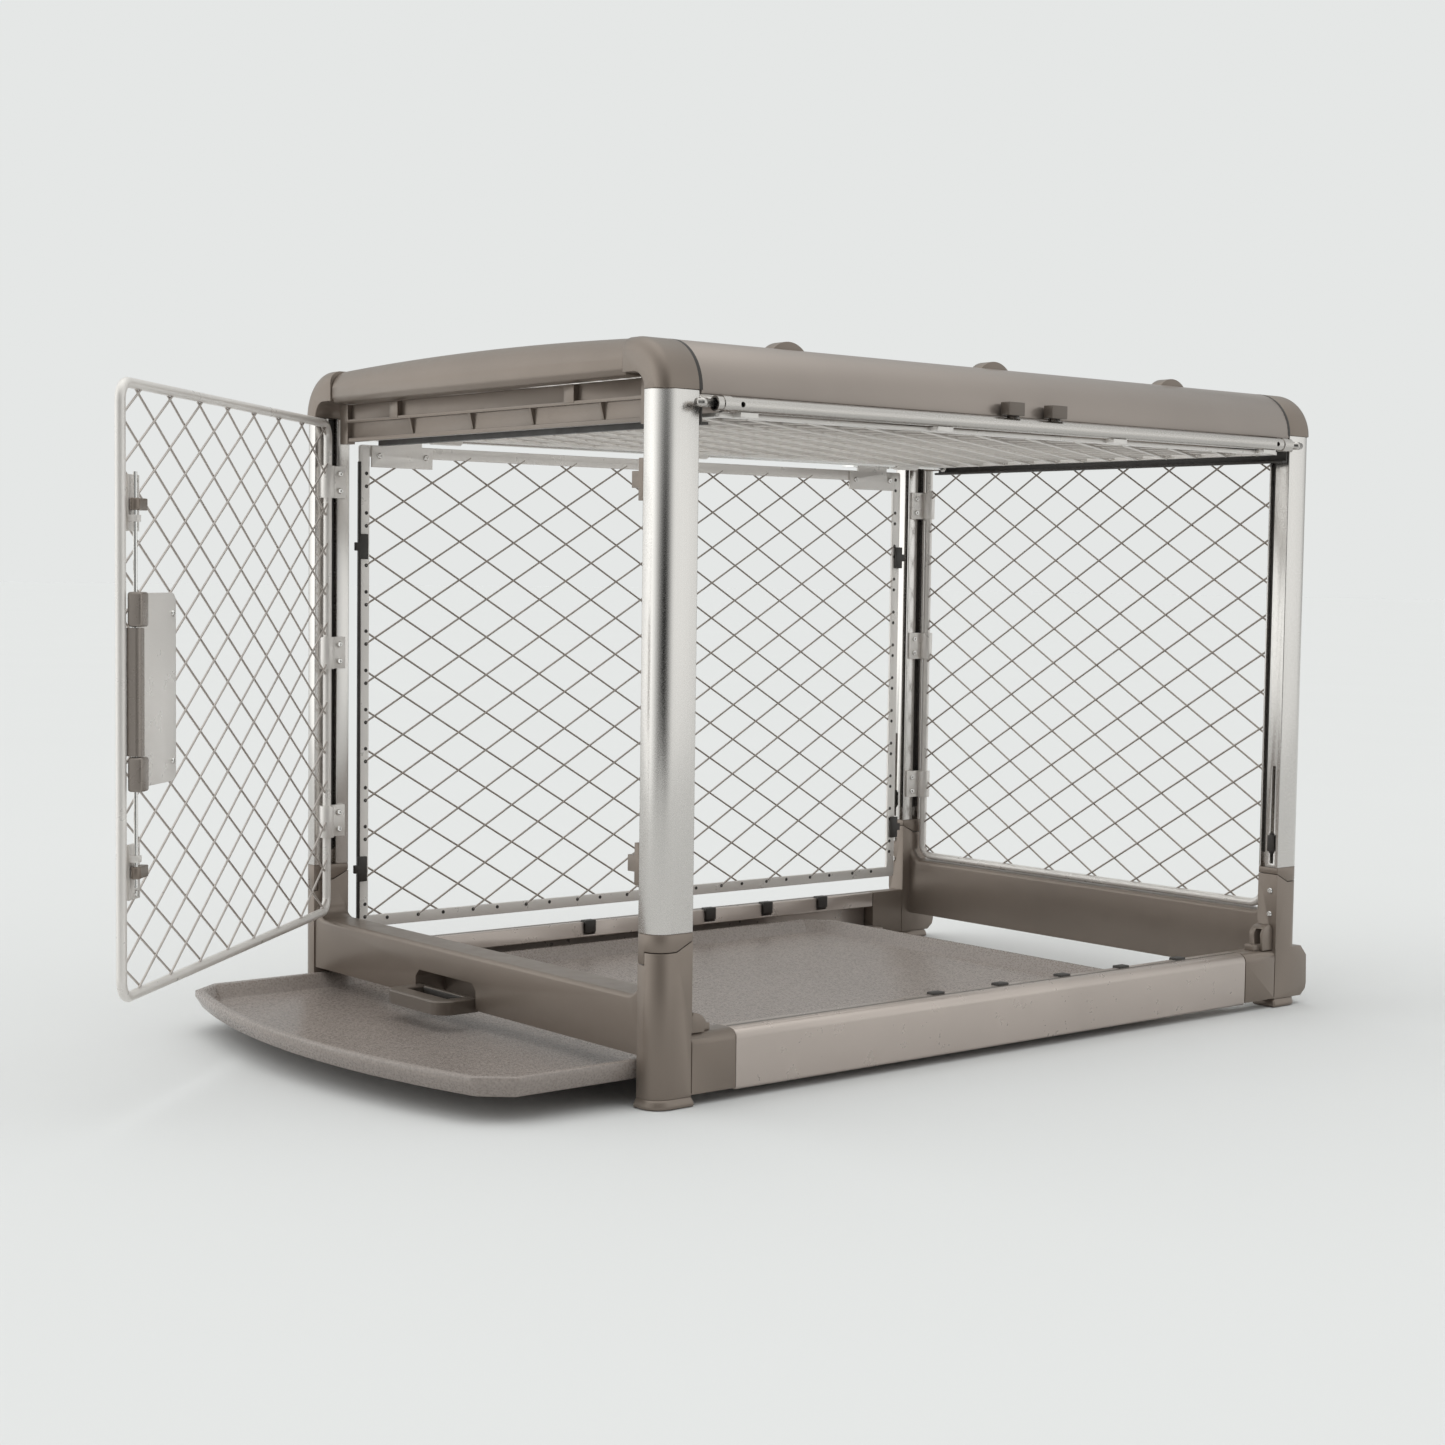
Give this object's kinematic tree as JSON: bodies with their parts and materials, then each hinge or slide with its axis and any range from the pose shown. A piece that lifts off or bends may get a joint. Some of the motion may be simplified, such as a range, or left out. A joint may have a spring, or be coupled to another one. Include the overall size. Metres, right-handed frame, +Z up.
{
  "type": "collapsible dog crate",
  "caption": "Collapsible dog crate: aluminium corner posts and taupe end mouldings carry diamond-mesh doors and walls; the front door is open and the floor tray pulled forward.",
  "frame": {"origin": "centre of the footprint of the four feet, on the floor", "axes": "+X towards the long side door, -Y towards the front end door and the tray, +Z up"},
  "size_m": [0.5692, 1.1744, 0.61],
  "materials": {
    "taupe_plastic": "fine-textured satin taupe moulding with a metallic pigment",
    "taupe_coated_rail": "satin taupe powder coat on an aluminium extrusion",
    "champagne_aluminium": "brushed champagne anodised extrusion",
    "coated_wire": "smooth light coating on steel wire",
    "coated_frame": "smooth light coating on steel frames and fittings",
    "dark_plastic": "matte black-brown plastic",
    "steel": "bright plated steel",
    "bar_metal": "light satin tube and pins",
    "tray_plastic": "fine speckled taupe plastic"
  },
  "bodies": {
    "frame": {"base_front_end": "taupe_plastic", "base_rear_end": "taupe_plastic", "corner_feet": "taupe_plastic", "base_rail_left": "taupe_coated_rail", "base_rail_right": "taupe_coated_rail", "rail_clips_left": "dark_plastic", "rail_clips_right": "dark_plastic", "side_door_catches": "taupe_plastic", "base_screws": "steel", "post_front_left": "champagne_aluminium", "post_front_right": "champagne_aluminium", "post_rear_left": "champagne_aluminium", "post_rear_right": "champagne_aluminium", "post_caps": "taupe_plastic", "elbow_front_left": "taupe_plastic", "elbow_front_right": "taupe_plastic", "elbow_rear_left": "taupe_plastic", "elbow_rear_right": "taupe_plastic", "roof_beam_front": "taupe_plastic", "roof_beam_rear": "taupe_plastic", "roof_inner_front": "taupe_plastic", "roof_inner_rear": "taupe_plastic", "roof_rail_left": "taupe_coated_rail", "roof_rail_right": "taupe_coated_rail", "roof_hinge_knobs": "taupe_plastic", "door_strikes": "taupe_plastic", "front_hinge_clamps": "coated_frame", "rear_hinge_clamps": "coated_frame", "clamp_screws": "steel", "side_door_tracks": "dark_plastic", "wall_hinge_pins": "steel"},
    "tray": {"tray": "tray_plastic"},
    "pull_handle": {"pull_handle": "taupe_plastic"},
    "front_door": {"front_door_frame": "coated_frame", "front_door_mesh": "coated_wire", "door_latch_plate": "coated_frame", "door_rod_guides": "coated_frame"},
    "door_lock": {"door_latch_grip": "taupe_plastic", "door_lock_rod": "steel", "door_lock_cams": "taupe_plastic"},
    "rear_panel": {"rear_panel_frame": "coated_frame", "rear_panel_mesh": "coated_wire"},
    "back_wall": {"back_wall_frame": "coated_frame", "back_wall_mesh": "coated_wire", "wall_hinge_plates": "coated_frame", "wall_clips": "dark_plastic"},
    "side_carriage": {"side_door_rod": "steel"},
    "side_door": {"side_door_frame": "coated_frame", "side_door_mesh": "coated_wire", "side_door_bar": "bar_metal"},
    "side_pin_front": {"side_pin_front": "bar_metal", "side_tab_front": "taupe_plastic"},
    "side_pin_rear": {"side_pin_rear": "bar_metal", "side_tab_rear": "taupe_plastic"},
    "roof_hatch": {"roof_hatch_frame": "coated_frame", "roof_hatch_mesh": "coated_wire"},
    "post_lock_left": {"post_lock_left": "dark_plastic"},
    "post_lock_right": {"post_lock_right": "dark_plastic"}
  },
  "joints": [
    {"name": "tray_slide", "type": "slide", "parent": "frame", "child": "tray", "axis": [0, -1, 0], "range_m": [-0.14, 0.3]},
    {"name": "pull_handle_slide", "type": "slide", "parent": "frame", "child": "pull_handle", "axis": [0, -1, 0], "range_m": [-0.026, 0]},
    {"name": "front_door_swing", "type": "hinge", "parent": "frame", "child": "front_door", "pos_m": [-0.247, -0.395, 0], "axis": [0, 0, 1], "range_deg": [-49, 48]},
    {"name": "door_lock_turn", "type": "hinge", "parent": "front_door", "child": "door_lock", "pos_m": [0.07648, -0.74156, 0], "axis": [0, 0, -1], "range_deg": [0, 170]},
    {"name": "rear_panel_swing", "type": "hinge", "parent": "frame", "child": "rear_panel", "pos_m": [-0.247, 0.392, 0], "axis": [0, 0, 1], "range_deg": [0, 95]},
    {"name": "back_wall_fold", "type": "hinge", "parent": "frame", "child": "back_wall", "pos_m": [-0.257, 0, 0.546], "axis": [0, -1, 0], "range_deg": [0, 75]},
    {"name": "side_door_slide", "type": "slide", "parent": "frame", "child": "side_carriage", "axis": [1, 0, 0], "range_m": [0, 0.467]},
    {"name": "side_door_drop", "type": "hinge", "parent": "side_carriage", "child": "side_door", "pos_m": [-0.1915, 0, 0.543], "axis": [0, 1, 0], "range_deg": [0, 90.1]},
    {"name": "side_pin_front_slide", "type": "slide", "parent": "side_door", "child": "side_pin_front", "axis": [0, 1, 0], "range_m": [0, 0.012], "stiffness_N_per_m": 300, "springref_m": -0.006},
    {"name": "side_pin_rear_slide", "type": "slide", "parent": "side_door", "child": "side_pin_rear", "axis": [0, -1, 0], "range_m": [0, 0.012], "stiffness_N_per_m": 300, "springref_m": -0.006},
    {"name": "roof_hatch_lift", "type": "hinge", "parent": "frame", "child": "roof_hatch", "pos_m": [0.211, 0, 0.6002], "axis": [0, 1, 0], "range_deg": [0, 95]},
    {"name": "post_lock_left_slide", "type": "slide", "parent": "frame", "child": "post_lock_left", "axis": [0, 0, 1], "range_m": [0, 0.062]},
    {"name": "post_lock_right_slide", "type": "slide", "parent": "frame", "child": "post_lock_right", "axis": [0, 0, 1], "range_m": [0, 0.062]}
  ],
  "couplings": [
    {"joint": "side_door_drop", "follows": "side_door_slide", "rad_per_m": 3.3636}
  ]
}
